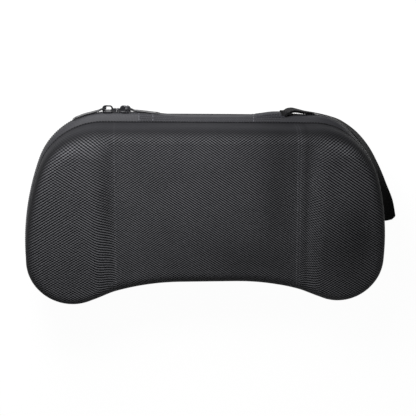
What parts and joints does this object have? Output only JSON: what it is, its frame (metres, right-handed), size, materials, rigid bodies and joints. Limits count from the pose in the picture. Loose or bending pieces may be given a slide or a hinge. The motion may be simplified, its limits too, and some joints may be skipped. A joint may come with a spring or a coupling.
{
  "type": "handheld_console_case",
  "caption": "Zipped hard-shell carrying case for a handheld games console, with grip lobes, a fabric hinge, a webbing wrist strap, a moulded tray and a net lid pocket",
  "frame": {"origin": "Centre of the flat back on which the closed case lies, at floor height", "axes": "+X to the right along the case's width seen from the front, +Y towards the hinge, +Z out of the front cover"},
  "size_m": [0.3391, 0.1748, 0.0665],
  "materials": {
    "shell_fabric": "woven black nylon bonded to moulded foam board",
    "binding_tape": "woven binding tape",
    "zip_tape": "coated zip tape, dull",
    "hinge_fabric": "woven fabric, dull",
    "zip_teeth": "satin nylon coil",
    "dark_metal": "black enamelled zinc, worn to bright metal on its edges",
    "webbing": "ribbed woven webbing",
    "flocked_foam": "short-pile lining on moulded foam",
    "elastic": "ribbed elastic tape",
    "net": "knitted net"
  },
  "bodies": {
    "base": {"rear_shell": "shell_fabric", "rear_binding": "binding_tape", "rear_zip_tape": "zip_tape", "rear_zip_teeth": "zip_teeth", "hinge_strip": "hinge_fabric", "zip_end_left": "zip_tape", "zip_end_right": "zip_tape", "zip_stops": "dark_metal", "strap_tab": "webbing", "wrist_strap": "webbing", "console_tray": "flocked_foam", "hold_down_strap": "elastic", "strap_catch": "elastic"},
    "lid": {"front_shell": "shell_fabric", "front_binding": "binding_tape", "front_zip_tape": "zip_tape", "front_zip_teeth": "zip_teeth", "mesh_pocket": "net", "pocket_hem": "elastic"},
    "slider_left": {"slider_left": "dark_metal"},
    "slider_right": {"slider_right": "dark_metal"},
    "pull_left": {"pull_left": "dark_metal"},
    "pull_right": {"pull_right": "dark_metal"}
  },
  "joints": [
    {"name": "lid_hinge", "type": "hinge", "parent": "base", "child": "lid", "pos_m": [0, 0.0845, 0.032], "axis": [-1, 0, 0], "range_deg": [0, 172], "deforming": ["hinge_strip", "zip_end_left", "zip_end_right"]},
    {"name": "slider_left_run", "type": "hinge", "parent": "base", "child": "slider_left", "pos_m": [-0.08505, 0.021, 0.032], "axis": [0, 0, 1], "range_deg": [0, 60]},
    {"name": "slider_right_run", "type": "slide", "parent": "base", "child": "slider_right", "axis": [1, 0, 0], "range_m": [0, 0.0055]},
    {"name": "pull_left_swing", "type": "hinge", "parent": "slider_left", "child": "pull_left", "pos_m": [-0.08705, 0.08585, 0.032], "axis": [0, 0, -1], "range_deg": [0, 100]},
    {"name": "pull_right_swing", "type": "hinge", "parent": "slider_right", "child": "pull_right", "pos_m": [-0.06875, 0.08585, 0.032], "axis": [0, 0, 1], "range_deg": [0, 100]}
  ]
}
